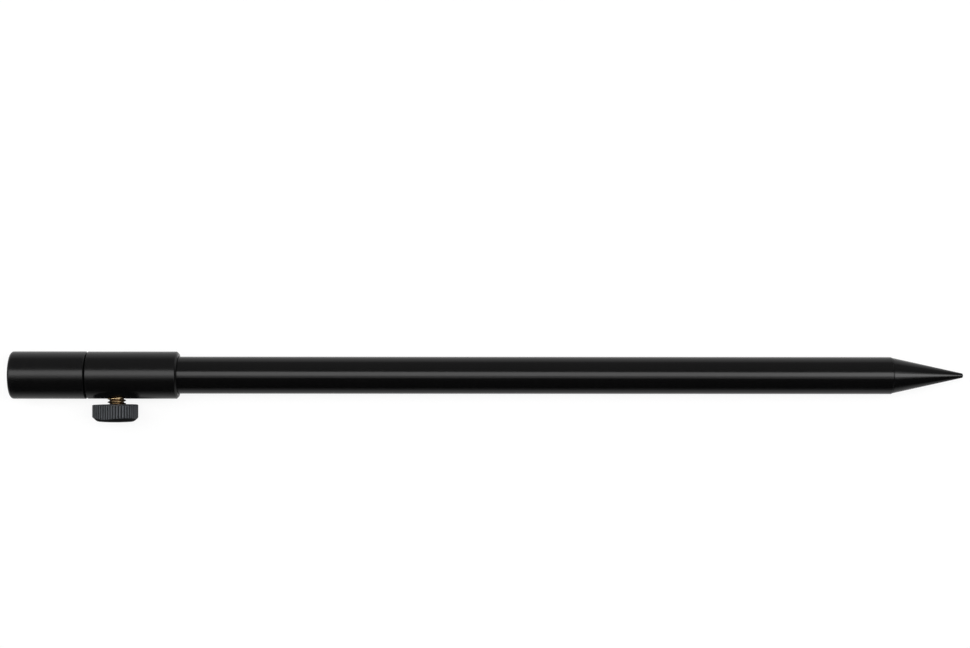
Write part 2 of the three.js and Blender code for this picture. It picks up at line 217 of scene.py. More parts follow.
class BankStickSizes(bpy.types.PropertyGroup):
    """Sizes of edges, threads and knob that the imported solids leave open"""

    front_edge: length("Head Front", "Rounding of the head's front edge", 1.4 * MM)
    seam_chamfer: length("Seam Chamfer", "Chamfers on both sides of the seam", 0.4 * MM)
    end_chamfer: length("End Chamfer", "Chamfer at the collar's end on the tube", 0.8 * MM)
    end_soft: length("End Softness", "Rounding of that chamfer's corners", 0.3 * MM)
    soft_edge: length("Soft Edge", "Rounding where a chamfer meets a wall", 0.12 * MM)
    tube_edge: length("Tube Edge", "Rounding of a tube's ends", 0.2 * MM)
    nose_edge: length("Nose", "Rounding of the ground point's nose", 0.5 * MM)
    stud_pitch: length("Stud Pitch", "Advance of the thumb screw in one turn", 1.411 * MM)
    socket_pitch: length("Socket Pitch", "Pitch of the thread in the head", 1.27 * MM)
    socket_major: length("Socket Major", "Largest diameter of the thread in the head", 9.53 * MM)
    crest_reach: length("Crest Reach", "Where the stud's crest shows on its left side", 11.72 * MM)
    stud_bevel: length("Stud Bevel", "Bevel at the stud's tip", 0.6 * MM)
    # Where the painted shade on the stud by the knob is full, and where it ends
    painted_shade_near: length("Painted Shade Near", "How far from the knob the stud is fully in painted shade", 0.5 * MM)
    painted_shade_far: length("Painted Shade Far", "How far from the knob the stud is clean", 3.2 * MM)
    lobe_circle: length("Lobe Circle", "Distance of the lobes' centres from the axis", 3.61 * MM)
    lobe_radius: length("Lobe Radius", "Radius of each of the knob's lobes", 6.92 * MM)
    rib_depth: length("Rib Depth", "Depth of the grooves between the knob's ribs", 0.4 * MM)
    rim_edge: length("Rim Edge", "Rounding of the knob's edge at the collar", 0.3 * MM)
    rim_height: length("Rim Height", "Height of the ribbed rim where the lobes end", 5.25 * MM)
    chamfer_rise: share("Chamfer Rise", "Steepness of the chamfer between rim and face", 0.9)
    chamfer_turned: share(
        "Turned Chamfer", "How far the chamfer is turned, not cut along the lobes", 0.4
    )
    chamfer_blend: length("Chamfer Blend", "Width of the bend from chamfer to face", 0.5 * MM)
    chamfer_edge: length("Chamfer Edge", "Rounding between rim and chamfer", 0.16 * MM)
    crown_drop: length("Crown", "Fall of the face over one lobe's radius", 0.25 * MM)
    boss_height: length("Boss", "Height of the knob's boss round the stud", 0.24 * MM)
    boss_wall: length("Boss Wall", "Thickness of the boss", 0.4 * MM)
    back_start: length("Back Start", "Growth of the knob's flat back next to the boss", 3.4 * MM)
    back_end: length("Back End", "Growth of the knob's flat back next to the rim", 6.2 * MM)
    fine_edge: length("Fine Edge", "Bevel on the smallest edges", 0.1 * MM)
    plate_growth: length(
        "Plate", "How far the inlaid plate reaches past the lobes' centres", 3.56 * MM
    )
    plate_groove: length("Plate Groove", "Width of the groove round the plate", 0.3 * MM)
    plate_edge: length("Plate Edge", "Rounding along the groove", 0.16 * MM)
    rib_count: bpy.props.IntProperty(
        name="Ribs", description="Ribs round the knob, a multiple of three", default=48, min=3
    )


class BankStickFinishes(bpy.types.PropertyGroup):
    """Colours and gloss of the stick's materials"""

    anodised: colour("Anodised", "Black anodised aluminium", (0.0022, 0.0022, 0.0023))
    anodised_worn: colour("Worn Edge", "The same where edges are polished", (0.0045, 0.0045, 0.005))
    tube_roughness: share("Tube Roughness", "Blur of the tubes' reflections", 0.17)
    sleeve_roughness: share("Sleeve Roughness", "Blur of the head's and the collar's", 0.24)
    anodised_level: share("Anodised Reflection", "Reflection seen square on", 0.25)
    brass: colour("Brass", "Turned brass", (0.76, 0.57, 0.325))
    # Painted shade on the brass, in the thread's roots and on the stud by the knob
    brass_painted_shade: colour("Brass Painted Shade", "Painted shade on the brass, in the thread's roots and by the knob", (0.08, 0.05, 0.024))
    brass_roughness: share("Brass Roughness", "Blur of the brass's reflections", 0.22)
    moulded: colour("Moulded", "Charcoal moulded plastic", (0.1, 0.107, 0.116))
    # Painted shade between the knob's ribs and on its chamfer
    moulded_painted_shade: colour("Moulded Painted Shade", "Painted shade between the ribs and on the chamfer", (0.0025, 0.0026, 0.003))
    moulded_roughness: share("Moulded Roughness", "Blur of the plastic's reflections", 0.25)
    moulded_dulling: share("Moulded Dulling", "Blur added between the ribs", 0.6)
    moulded_fade: share("Moulded Fade", "The smaller, the narrower the ribs' bright crests", 0.3)
    moulded_index: bpy.props.FloatProperty(
        name="Moulded Index", description="Index of refraction of the plastic", default=1.22, min=1
    )
    black_nylon: colour("Black Nylon", "Guide bush and end plug", (0.012, 0.012, 0.013))
    white_nylon: colour("Natural Nylon", "Glide ring and screw pad", (0.72, 0.68, 0.58))
    nylon_roughness: share("Nylon Roughness", "Blur of the nylon's reflections", 0.5)
    rubber: colour("Rubber", "Seam ring", (0.008, 0.008, 0.008))
    rubber_roughness: share("Rubber Roughness", "Blur of the rubber's reflections", 0.8)
    groove_depth: length("Turning Marks", "Depth of the marks left by turning", 0.0012 * MM)
    grain_depth: length("Moulded Grain", "Depth of the grain on moulded pieces", 0.012 * MM)


class BankStickStage(bpy.types.PropertyGroup):
    """Floor, lamps and camera"""

    floor_glow: share("Floor Glow", "How much of the floor's white is its own", 0.865)
    floor_tone: share("Floor Tone", "What the floor gives back of the lamps' light", 0.14)
    front_near: share("Near Front", "The floor's white in reflections, just in front", 0.49)
    front_far: share("Far Front", "The same an arm's length in front", 0.02)
    front_horizon: share("Front Horizon", "The same towards the horizon in front", 0.5)
    back_near: share("Near Back", "The floor's white in reflections, just behind", 0.71)
    back_middle: share("Middle Back", "The same a hand's width behind", 0.49)
    back_far: share("Far Back", "The same far behind", 0.37)
    under_stick: share("Under the Stick", "The same in the stick's own shadow", 0.05)
    floor_bounce: share("Floor Bounce", "What the floor gives back to soft light", 0.35)
    strip_lamp: strength("Strip Lamp", "Watts of the long slanted strip overhead", 23.5)
    end_strip: strength("End Strip", "Watts of the strip over the ground point", 3.8)
    soft_strip: strength("Soft Strip", "Watts of the dimmer strip along its front", 3.6)
    side_lamps: strength("Side Lamps", "Watts of the two large lamps at the sides", 4)
    sky_front: strength("Front Sky", "Brightness of the surroundings in front", 0.032)
    sky_back: strength("Back Sky", "Brightness of the surroundings behind", 0.36)
    camera_height: length("Camera Height", "Height of the camera above the stick", 0.9613)
    camera_lens: bpy.props.FloatProperty(
        name="Lens", description="Focal length", default=82.5, min=1, unit="CAMERA"
    )
    camera_roll: bpy.props.FloatProperty(
        name="Roll", description="Turn of the camera about the way it looks",
        default=math.radians(0.036), subtype="ANGLE",
    )


def sizes():
    """The stick's sizes, as the sidebar holds them."""
    return bpy.context.scene.bank_stick_sizes


def finishes():
    """The stick's colours and gloss, as the sidebar holds them."""
    return bpy.context.scene.bank_stick_finishes


def stage():
    """The settings of floor, lamps and camera, as the sidebar holds them."""
    return bpy.context.scene.bank_stick_stage


def span(node):
    """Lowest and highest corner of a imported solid, as arrays."""
    low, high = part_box(node)
    return np.array(low), np.array(high)


def outer_radius(node):
    """Radius of a turned solid: the height of its highest point over the stick's axis."""
    return span(node)[1][2]


def start_of(node):
    """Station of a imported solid's end towards the head."""
    return span(node)[0][0]


def end_of(node):
    """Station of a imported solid's end towards the ground point."""
    return span(node)[1][0]


def screw_axis():
    """Station of the thumb screw's axis along the stick: the middle of the stud's width."""
    return (start_of("screw_stud") + end_of("screw_stud")) / 2


def screw_crest():
    """Radius of the stud's thread at its crest: half the stud's width."""
    return (end_of("screw_stud") - start_of("screw_stud")) / 2


def round_angles(columns):
    """Angles of the columns that run once round, evenly from none."""
    return np.arange(columns) / columns * FULL_TURN


def rising(count):
    """Even shares from just over none up to all, one for each row."""
    return np.linspace(0, 1, count + 1)[1:, None]


def rounded(corners, radii, steps=ARC_STEPS, closed=False):
    """A profile with its corners rounded, and how much each of its points belongs to an edge.

    Each corner gives way to an arc that touches both of its sides. The arc's centre lies on the
    corner's bisector, at the radius over the sine of half the corner's angle, and its points turn
    evenly from one side to the other. A holding point before and after each arc keeps long walls
    shading true. An arc's first and last point belong to the edge by half, and holding points
    don't. Points that fall together are merged.
    """
    corners = np.array(corners, float)
    radii = np.array(radii, float)
    to_last = np.roll(corners, 1, axis=0) - corners
    to_next = np.roll(corners, -1, axis=0) - corners
    last_length = np.linalg.norm(to_last, axis=1)
    next_length = np.linalg.norm(to_next, axis=1)
    to_last /= last_length[:, None]
    to_next /= next_length[:, None]
    half_angle = np.arccos(np.clip((to_last * to_next).sum(1), -1, 1)) / 2
    touch = radii / np.tan(half_angle)
    hold_next = np.minimum(radii, (next_length - touch - np.roll(touch, -1)) / 2)
    hold_last = np.minimum(radii, (last_length - touch - np.roll(touch, 1)) / 2)
    bisector = to_last + to_next
    bisector /= np.maximum(np.linalg.norm(bisector, axis=1, keepdims=True), TINY)
    centre = corners + bisector * (radii / np.sin(half_angle))[:, None]
    first = corners + to_last * touch[:, None] - centre
    final = corners + to_next * touch[:, None] - centre
    sweep = (math.pi - 2 * half_angle)[:, None]
    turn = np.linspace(0, 1, steps + 1)[None, :] * sweep
    weight_first = np.sin(sweep - turn) / np.sin(sweep)
    weight_final = np.sin(turn) / np.sin(sweep)
    arcs = centre[:, None] + weight_first[..., None] * first[:, None]
    arcs += weight_final[..., None] * final[:, None]
    before = corners + to_last * (touch + hold_last)[:, None]
    after = corners + to_next * (touch + hold_next)[:, None]
    points = np.concatenate([before[:, None], arcs, after[:, None]], axis=1)
    edge = np.ones(points.shape[:2])
    edge[:, [0, -1]] = 0
    edge[:, [1, -2]] = 0.5
    points = points.reshape(-1, 2)
    edge = edge.reshape(-1)
    if not closed:
        ends = steps + 3
        points = np.concatenate([corners[:1], points[ends:-ends], corners[-1:]])
        edge = np.concatenate([[0], edge[ends:-ends], [0]])
    ahead = np.linalg.norm(points - np.roll(points, 1, axis=0), axis=1)
    keep = ahead > TINY
    keep[0] = keep[0] or not closed
    return points[keep], edge[keep]


def turned_grid(profile, columns=TURNED_COLUMNS):
    """A profile turned about X: a point at a station and a radius goes to that station, the radius
    times the sine of the column's angle across, and the radius times its cosine up."""
    angle = round_angles(columns)
    station, radius = profile[:, :1], profile[:, 1:]
    flat = np.ones_like(angle)[None, :]
    return np.stack([station * flat, radius * np.sin(angle), radius * np.cos(angle)], axis=-1)


def ring_quads(rows, columns, closed):
    """Quads between neighbouring rows of a grid whose columns run round, and whose last row meets
    the first if it is closed."""
    row = np.arange(rows if closed else rows - 1)[:, None]
    column = np.arange(columns)[None, :]
    next_row, next_column = (row + 1) % rows, (column + 1) % columns
    corners = [
        row * columns + column,
        row * columns + next_column,
        next_row * columns + next_column,
        next_row * columns + column,
    ]
    return np.stack(corners, axis=-1).reshape(-1, 4)


def skin(name, grid, closed, marks=None):
    """A smooth closed mesh from a grid of points, rows by columns.

    A closed grid joins its last row to its first. Any other gets a centre point at each end, the
    mean of the end row, with a fan of triangles. The signed volume, the sum of every triangle's
    triple product, tells whether the faces have to be turned outwards. Marks are named values for
    each row, or for each row and column, and are kept on the points.
    """
    rows, columns = grid.shape[:2]
    points = grid.reshape(-1, 3)
    quads = ring_quads(rows, columns, closed)
    fans = np.zeros((0, 3), int)
    if not closed:
        column = np.arange(columns)
        after = (column + 1) % columns
        low, high = rows * columns, rows * columns + 1
        last = (rows - 1) * columns
        low_fan = np.stack([np.full(columns, low), after, column], axis=-1)
        high_fan = np.stack([np.full(columns, high), last + column, last + after], axis=-1)
        fans = np.concatenate([low_fan, high_fan])
        points = np.concatenate([points, grid[[0, -1]].mean(axis=1)])
    triangles = np.concatenate([quads[:, [0, 1, 2]], quads[:, [0, 2, 3]], fans])
    a, b, c = (points[triangles[:, k]] for k in range(3))
    if (a * np.cross(b, c)).sum() < 0:
        quads, fans = quads[:, ::-1], fans[:, ::-1]
    mesh = bpy.data.meshes.new(name)
    mesh.from_pydata(points.tolist(), [], quads.tolist() + fans.tolist())
    mesh.polygons.foreach_set("use_smooth", np.ones(len(mesh.polygons), bool))
    for mark, values in (marks or {}).items():
        values = np.asarray(values, float)
        values = np.broadcast_to(values.reshape(rows, -1), (rows, columns)).reshape(-1)
        values = np.concatenate([values, np.zeros(len(points) - len(values))])
        layer = mesh.attributes.new(mark, "FLOAT", "POINT")
        layer.data.foreach_set("value", values.astype(np.float32))
    mesh.update()
    mesh.set_sharp_from_angle(angle=SHARP_ANGLE)
    piece = bpy.data.objects.new(name, mesh)
    bpy.context.scene.collection.objects.link(piece)
    return piece


def turned_piece(name, corners, radii, closed):
    """A turned body with rounded corners, whose edges are marked for wear."""
    profile, edge = rounded(corners, radii, closed=closed)
    if not closed:
        profile, edge = profile[1:-1], edge[1:-1]
    return skin(name, turned_grid(profile), closed, {"edge": edge})


def dress(piece, material, body, slot, *nodes):
    """Gives a new piece its material, the body it rides on and the solids it stands for."""
    piece.data.materials.append(material)
    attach(piece, body)
    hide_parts(*nodes)


# Materials


def node(tree, kind, place=(0, 0), **settings):
    """A shader node with its settings and its plain input values."""
    made = tree.nodes.new(kind)
    made.location = place
    for key, value in settings.items():
        if key == "inputs":
            for socket, plain in value.items():
                made.inputs[socket].default_value = plain
        else:
            setattr(made, key, value)
    return made


def new_group(name, inputs, outputs):
    """An empty shader node group with its sockets: each has a name and a kind, and on inputs a
    default."""
    group = bpy.data.node_groups.new(name, "ShaderNodeTree")
    for label, kind, default in inputs:
        socket = group.interface.new_socket(label, in_out="INPUT", socket_type=kind)
        socket.default_value = default
    for label, kind in outputs:
        group.interface.new_socket(label, in_out="OUTPUT", socket_type=kind)
    start = node(group, "NodeGroupInput", (-900, 0))
    end = node(group, "NodeGroupOutput", (600, 0))
    return group, start, end


def feed(tree, socket, value):
    """Gives an input another node's output, or a plain value."""
    if isinstance(value, bpy.types.NodeSocket):
        tree.links.new(value, socket)
    else:
        socket.default_value = value


def maths(tree, operation, first, second=None, place=(0, 0)):
    """A Math node whose inputs are outputs of others or plain numbers."""
    made = node(tree, "ShaderNodeMath", place, operation=operation)
    feed(tree, made.inputs[0], first)
    if second is not None:
        feed(tree, made.inputs[1], second)
    return made.outputs[0]


def ranged(tree, value, start, end, place=(0, 0), smooth=False, to=(0, 1)):
    """A value taken from one range to another, in a straight line or with softened ends."""
    kind = "SMOOTHSTEP" if smooth else "LINEAR"
    made = node(tree, "ShaderNodeMapRange", place, interpolation_type=kind)
    plain = (("From Min", start), ("From Max", end), ("To Min", to[0]), ("To Max", to[1]))
    for socket, number in plain:
        made.inputs[socket].default_value = number
    tree.links.new(value, made.inputs["Value"])
    return made.outputs["Result"]


def between(tree, mask, first, second, place=(0, 0)):
    """A number between two, by a mask. Each is another node's output or a plain number."""
    made = node(tree, "ShaderNodeMix", place, data_type="FLOAT")
    tree.links.new(mask, made.inputs["Factor"])
    feed(tree, made.inputs["A"], first)
    feed(tree, made.inputs["B"], second)
    return made.outputs["Result"]


def separated(tree, coordinates, place=(0, 0)):
    """The three axes of some coordinates, each an output of its own."""
    axes = node(tree, "ShaderNodeSeparateXYZ", place)
    tree.links.new(coordinates, axes.inputs[0])
    return axes.outputs


def turning_marks_group():
    """Rings left by the turning tool: noise that changes only along one axis, fine marks over
    broader ones. Place is the distance along the axis."""
    name = "Turning Marks"
    if name in bpy.data.node_groups:
        return bpy.data.node_groups[name]
    group, start, end = new_group(
        name,
        [
            ("Place", "NodeSocketFloat", 0.0),
            ("Fine Marks", "NodeSocketFloat", 3200.0),
            ("Broad Marks", "NodeSocketFloat", 420.0),
        ],
        [("Height", "NodeSocketFloat"), ("Mask", "NodeSocketFloat")],
    )
    links = group.links
    fine = node(group, "ShaderNodeTexNoise", (-600, 160), noise_dimensions="1D")
    broad = node(group, "ShaderNodeTexNoise", (-600, -160), noise_dimensions="1D")
    fine.inputs["Detail"].default_value = 2
    broad.inputs["Detail"].default_value = 3
    for made, scale in ((fine, "Fine Marks"), (broad, "Broad Marks")):
        links.new(start.outputs["Place"], made.inputs["W"])
        links.new(start.outputs[scale], made.inputs["Scale"])
    total = maths(group, "ADD", fine.outputs["Fac"], broad.outputs["Fac"], (-300, 100))
    links.new(maths(group, "MULTIPLY", total, 0.5, (-100, 100)), end.inputs["Height"])
    links.new(broad.outputs["Fac"], end.inputs["Mask"])
    return group


def handling_group():
    """Faint smudges and specks from handling: two scales of noise, given as a mask about a half."""
    name = "Handling"
    if name in bpy.data.node_groups:
        return bpy.data.node_groups[name]
    group, start, end = new_group(
        name,
        [
            ("Place", "NodeSocketVector", (0.0, 0.0, 0.0)),
            ("Smudge Size", "NodeSocketFloat", 45.0),
            ("Speck Size", "NodeSocketFloat", 900.0),
        ],
        [("Smudges", "NodeSocketFloat"), ("Specks", "NodeSocketFloat")],
    )
    links = group.links
    smudge = node(group, "ShaderNodeTexNoise", (-600, 160))
    speck = node(group, "ShaderNodeTexNoise", (-600, -160))
    smudge.inputs["Detail"].default_value = 4
    speck.inputs["Detail"].default_value = 2
    for made, scale in ((smudge, "Smudge Size"), (speck, "Speck Size")):
        links.new(start.outputs["Place"], made.inputs["Vector"])
        links.new(start.outputs[scale], made.inputs["Scale"])
    sharpened = ranged(group, speck.outputs["Fac"], SPECK_START, SPECK_FULL, (-300, -160))
    links.new(smudge.outputs["Fac"], end.inputs["Smudges"])
    links.new(sharpened, end.inputs["Specks"])
    return group


def moulded_grain_group():
    """The fine sparked grain of a mould: small rounded bumps with a broader unevenness."""
    name = "Moulded Grain"
    if name in bpy.data.node_groups:
        return bpy.data.node_groups[name]
    group, start, end = new_group(
        name,
        [
            ("Place", "NodeSocketVector", (0.0, 0.0, 0.0)),
            ("Grain Size", "NodeSocketFloat", 3500.0),
        ],
        [("Height", "NodeSocketFloat"), ("Shade", "NodeSocketFloat")],
    )
    links = group.links
    grain = node(group, "ShaderNodeTexVoronoi", (-600, 160), feature="SMOOTH_F1")
    cloud = node(group, "ShaderNodeTexNoise", (-600, -160))
    cloud.inputs["Scale"].default_value = CLOUD_SCALE
    cloud.inputs["Detail"].default_value = 3
    links.new(start.outputs["Place"], grain.inputs["Vector"])
    links.new(start.outputs["Place"], cloud.inputs["Vector"])
    links.new(start.outputs["Grain Size"], grain.inputs["Scale"])
    total = maths(group, "ADD", grain.outputs["Distance"], cloud.outputs["Fac"], (-300, 100))
    links.new(total, end.inputs["Height"])
    links.new(cloud.outputs["Fac"], end.inputs["Shade"])
    return group


def placed(tree, group, coordinates, place, **plain):
    """A shared group put into a material: Place takes its coordinates, and the inputs that are
    named, with an underscore for a space, take plain values."""
    made = node(tree, "ShaderNodeGroup", place)
    made.node_tree = group
    tree.links.new(coordinates, made.inputs["Place"])
    for key, value in plain.items():
        made.inputs[key.replace("_", " ")].default_value = value
    return made.outputs


def blank_material(name, roughness, metallic=0.0):
    """A material with its Principled shader and the object coordinates."""
    material = bpy.data.materials.new(name)
    material.use_nodes = True
    tree = material.node_tree
    shader = tree.nodes["Principled BSDF"]
    shader.inputs["Roughness"].default_value = roughness
    shader.inputs["Metallic"].default_value = metallic
    coordinates = node(tree, "ShaderNodeTexCoord", (-1400, 0))
    return material, tree, shader, coordinates.outputs["Object"]


def tone(colour, factor):
    """A colour times a factor."""
    return [factor * part for part in colour]


def blend_colours(tree, mask, first, second, place=(0, 0)):
    """A colour between two, by a mask. Each is another node's output or a plain colour."""
    made = node(tree, "ShaderNodeMix", place, data_type="RGBA")
    tree.links.new(mask, made.inputs["Factor"])
    for socket, value in (("A", first), ("B", second)):
        target = next(s for s in made.inputs if s.name == socket and s.type == "RGBA")
        plain = not isinstance(value, bpy.types.NodeSocket)
        feed(tree, target, (*value, 1) if plain else value)
    return next(s for s in made.outputs if s.type == "RGBA")


def roughened(tree, shader, mask, middle, swing, place=(0, 0)):
    """Lets a mask about a half move the roughness up and down from its middle, and gives back the
    output that does so."""
    moved = ranged(tree, mask, 0, 1, place, to=(middle - swing, middle + swing))
    tree.links.new(moved, shader.inputs["Roughness"])
    return moved


def bumped(tree, shader, height, depth, place=(0, 0)):
    """Feeds a height to the shader's normal through a Bump node of the given depth."""
    made = node(tree, "ShaderNodeBump", place)
    made.inputs["Distance"].default_value = depth
    tree.links.new(height, made.inputs["Height"])
    tree.links.new(made.outputs["Normal"], shader.inputs["Normal"])


def anodised_material(name, roughness):
    """Satin black anodised aluminium with fine turning marks, faint smudges and polished edges."""
    if name in bpy.data.materials:
        return bpy.data.materials[name]
    look = finishes()
    material, tree, shader, place = blank_material(name, roughness)
    shader.inputs["Specular IOR Level"].default_value = look.anodised_level
    along = separated(tree, place, (-1200, 0))["X"]
    marks = placed(tree, turning_marks_group(), along, (-900, 200))
    smudges = placed(tree, handling_group(), place, (-900, -100))
    edge = node(tree, "ShaderNodeAttribute", (-900, -400), attribute_name="edge")
    dark, light = (tone(look.anodised, factor) for factor in ANODISED_TONES)
    uneven = blend_colours(tree, marks["Mask"], dark, light, (-500, 300))
    worn_share = maths(tree, "MULTIPLY", edge.outputs["Fac"], WORN_SHARE, (-700, -400))
    worn = blend_colours(tree, worn_share, uneven, look.anodised_worn, (-300, 300))
    tree.links.new(worn, shader.inputs["Base Color"])
    roughened(tree, shader, smudges["Smudges"], roughness, ANODISED_SWING, (-300, 0))
    bumped(tree, shader, marks["Height"], look.groove_depth, (-300, -300))
    return material


def sleeve_material():
    """The anodised finish of the head and the collar, a little duller than the tubes'."""
    return anodised_material("anodised_sleeve", finishes().sleeve_roughness)


def tube_material():
    """The anodised finish of the tubes and the ground point."""
    return anodised_material("anodised_tube", finishes().tube_roughness)


def brass_material(name, axis_place, axis_across, root_radius, crest_radius, painted_shade_span=None):
    """Turned brass with painted shade towards its thread's roots. The radius is the distance from an
    axis at a place: across X and Z for the stud, and across Y and Z for the insert in the head.
    Between the two places along Y given in the last argument, the stud has a painted shade by the
    knob that goes from full to none."""
    look = finishes()
    material, tree, shader, place = blank_material(name, look.brass_roughness, 1.0)
    axes = separated(tree, place, (-1200, 0))
    across = maths(tree, "SUBTRACT", axes[axis_across], axis_place, (-1000, 200))
    square = maths(tree, "MULTIPLY", across, across, (-850, 200))
    up = maths(tree, "MULTIPLY", axes["Z"], axes["Z"], (-850, 0))
    radius = maths(tree, "SQRT", maths(tree, "ADD", square, up, (-700, 100)), None, (-550, 100))
    height = ranged(tree, radius, root_radius, crest_radius, (-400, 100), smooth=True)
    smudges = placed(tree, handling_group(), place, (-900, -300), Smudge_Size=BRASS_SMUDGES)
    dull = tone(look.brass, BRASS_DULL)
    toned = blend_colours(tree, smudges["Smudges"], dull, look.brass, (-400, 400))
    # Painted shade: the brass darkens towards the thread's roots
    shaded = blend_colours(tree, height, look.brass_painted_shade, toned, (-200, 300))
    # Painted shade: the stud darkens towards the knob, full at the first place and gone at the
    # second
    if painted_shade_span:
        unshaded = ranged(tree, axes["Y"], *painted_shade_span, (-400, -100), smooth=True)
        shaded = blend_colours(tree, unshaded, look.brass_painted_shade, shaded, (0, 300))
    tree.links.new(shaded, shader.inputs["Base Color"])
    roughened(tree, shader, smudges["Smudges"], look.brass_roughness, BRASS_SWING, (-200, 0))
    bumped(tree, shader, smudges["Smudges"], BRASS_DENTS, (-200, -300))
    return material


def moulded_material():
    """Charcoal moulded plastic: fine grain, softer gloss in smudges, and painted shade between the
    ribs and on the chamfer, which are also duller. The mark of the painted shade is raised to a
    small power there, so that only the crests' middles stay bright."""
    name = "moulded_finish"
    if name in bpy.data.materials:
        return bpy.data.materials[name]
    look = finishes()
    material, tree, shader, place = blank_material(name, look.moulded_roughness)
    shader.inputs["IOR"].default_value = look.moulded_index
    grain = placed(tree, moulded_grain_group(), place, (-900, 200))
    smudges = placed(tree, handling_group(), place, (-900, -100), Smudge_Size=MOULDED_SMUDGES)
    # The mark of painted shade between the ribs and on the chamfer
    low = node(tree, "ShaderNodeAttribute", (-900, -400), attribute_name="valley")
    dark, light = (tone(look.moulded, factor) for factor in MOULDED_TONES)
    toned = blend_colours(tree, grain["Shade"], dark, light, (-500, 300))
    # Painted shade: darker between the ribs and on the chamfer, where the mark is high
    deep = maths(tree, "POWER", low.outputs["Fac"], look.moulded_fade, (-700, -400))
    shaded = blend_colours(tree, deep, toned, look.moulded_painted_shade, (-300, 300))
    tree.links.new(shaded, shader.inputs["Base Color"])
    roughness = roughened(
        tree, shader, smudges["Smudges"], look.moulded_roughness, MOULDED_SWING, (-500, 0)
    )
    dulling = maths(tree, "MULTIPLY", deep, look.moulded_dulling, (-500, -400))
    roughness = maths(tree, "ADD", roughness, dulling, (-300, -100))
    tree.links.new(roughness, shader.inputs["Roughness"])
    bumped(tree, shader, grain["Height"], look.grain_depth, (-300, -300))
    return material


def nylon_material(name, colour):
    """Plain turned or moulded nylon with a fine grain and a little unevenness."""
    if name in bpy.data.materials:
        return bpy.data.materials[name]
    look = finishes()
    material, tree, shader, place = blank_material(name, look.nylon_roughness)
    grain = placed(tree, moulded_grain_group(), place, (-900, 200), Grain_Size=NYLON_GRAIN)
    dull = tone(colour, NYLON_DULL)
    toned = blend_colours(tree, grain["Shade"], dull, colour, (-500, 300))
    tree.links.new(toned, shader.inputs["Base Color"])
    roughened(tree, shader, grain["Shade"], look.nylon_roughness, NYLON_SWING, (-300, 0))
    bumped(tree, shader, grain["Height"], look.grain_depth, (-300, -300))
    return material


def rubber_material():
    """Matt black rubber with a fine grain and dust specks."""
    look = finishes()
    material, tree, shader, place = blank_material("rubber_finish", look.rubber_roughness)
    grain = placed(tree, moulded_grain_group(), place, (-900, 200))
    specks = placed(tree, handling_group(), place, (-900, -100))
    dusty = tone(look.rubber, DUST_LIGHTER)
    toned = blend_colours(tree, specks["Specks"], look.rubber, dusty, (-500, 300))
    tree.links.new(toned, shader.inputs["Base Color"])
    roughened(tree, shader, grain["Shade"], look.rubber_roughness, RUBBER_SWING, (-300, 0))
    bumped(tree, shader, grain["Height"], look.grain_depth, (-300, -300))
    return material


# Shapes


class BANKSTICK_OT_head(bpy.types.Operator):
    """Turns the head: a blind seat for the insert in front, a socket for the stem behind"""

    bl_idname = "bank_stick.head"
    bl_label = "Head"

    def execute(self, context):
        size = sizes()
        low, high = span("head")
        seat = outer_radius("head_thread_insert") + BOND_GAP
        socket = outer_radius("stem_tube") + BOND_GAP
        recess = outer_radius("buffer_ring") + BOND_GAP
        seat_floor = end_of("head_thread_insert") + BOND_GAP
        socket_floor = start_of("stem_tube") - BOND_GAP
        recess_floor = start_of("buffer_ring") - BOND_GAP
        chamfer, soft = size.seam_chamfer, size.soft_edge
        corners = [
            (seat_floor, 0),
            (seat_floor, seat),
            (low[0], seat),
            (low[0], high[2]),
            (high[0] - chamfer, high[2]),
            (high[0], high[2] - chamfer),
            (high[0], recess),
            (recess_floor, recess),
            (recess_floor, socket),
            (socket_floor, socket),
            (socket_floor, 0),
        ]
        radii = [0, soft, soft, size.front_edge, soft, soft, soft, 0, 0, 0, 0]
        piece = turned_piece("head_sleeve", corners, radii, closed=False)
        dress(piece, sleeve_material(), "extension", "black_anodised", "head")
        return {"FINISHED"}


def screw_drill(wall):
    """A drill for the thumb screw's hole in the collar, whose outer radius is the wall. It is a
    stack of circles about the screw's axis, each a reach away from the stick's axis, and it widens
    by a lip where it passes the wall."""
    hole = screw_crest() + SEAT_GAP
    reach = np.array([DRILL_REACH, wall - HOLE_LIP, wall + HOLE_LIP, wall + DRILL_REACH])[:, None]
    radius = np.array([hole, hole, hole + HOLE_LIP, hole + HOLE_LIP])[:, None]
    angle = round_angles(DRILL_COLUMNS)
    across = screw_axis() + radius * np.cos(angle)
    grid = np.stack([across, -reach * np.ones_like(angle), radius * np.sin(angle)], axis=-1)
    return skin("drill", grid, closed=False)


def cut_hole(piece, drill):
    """Cuts the drill's shape out of a piece for good, and removes the drill."""
    cut = piece.modifiers.new("screw_hole", "BOOLEAN")
    cut.operation = "DIFFERENCE"
    cut.solver = "EXACT"
    cut.object = drill
    bpy.context.view_layer.update()
    solved = piece.evaluated_get(bpy.context.evaluated_depsgraph_get())
    plain = piece.data
    piece.data = bpy.data.meshes.new_from_object(solved)
    piece.data.name = piece.name
    piece.modifiers.clear()
    bpy.data.meshes.remove(plain)
    bpy.data.meshes.remove(drill.data)
    piece.data.set_sharp_from_angle(angle=SHARP_ANGLE)


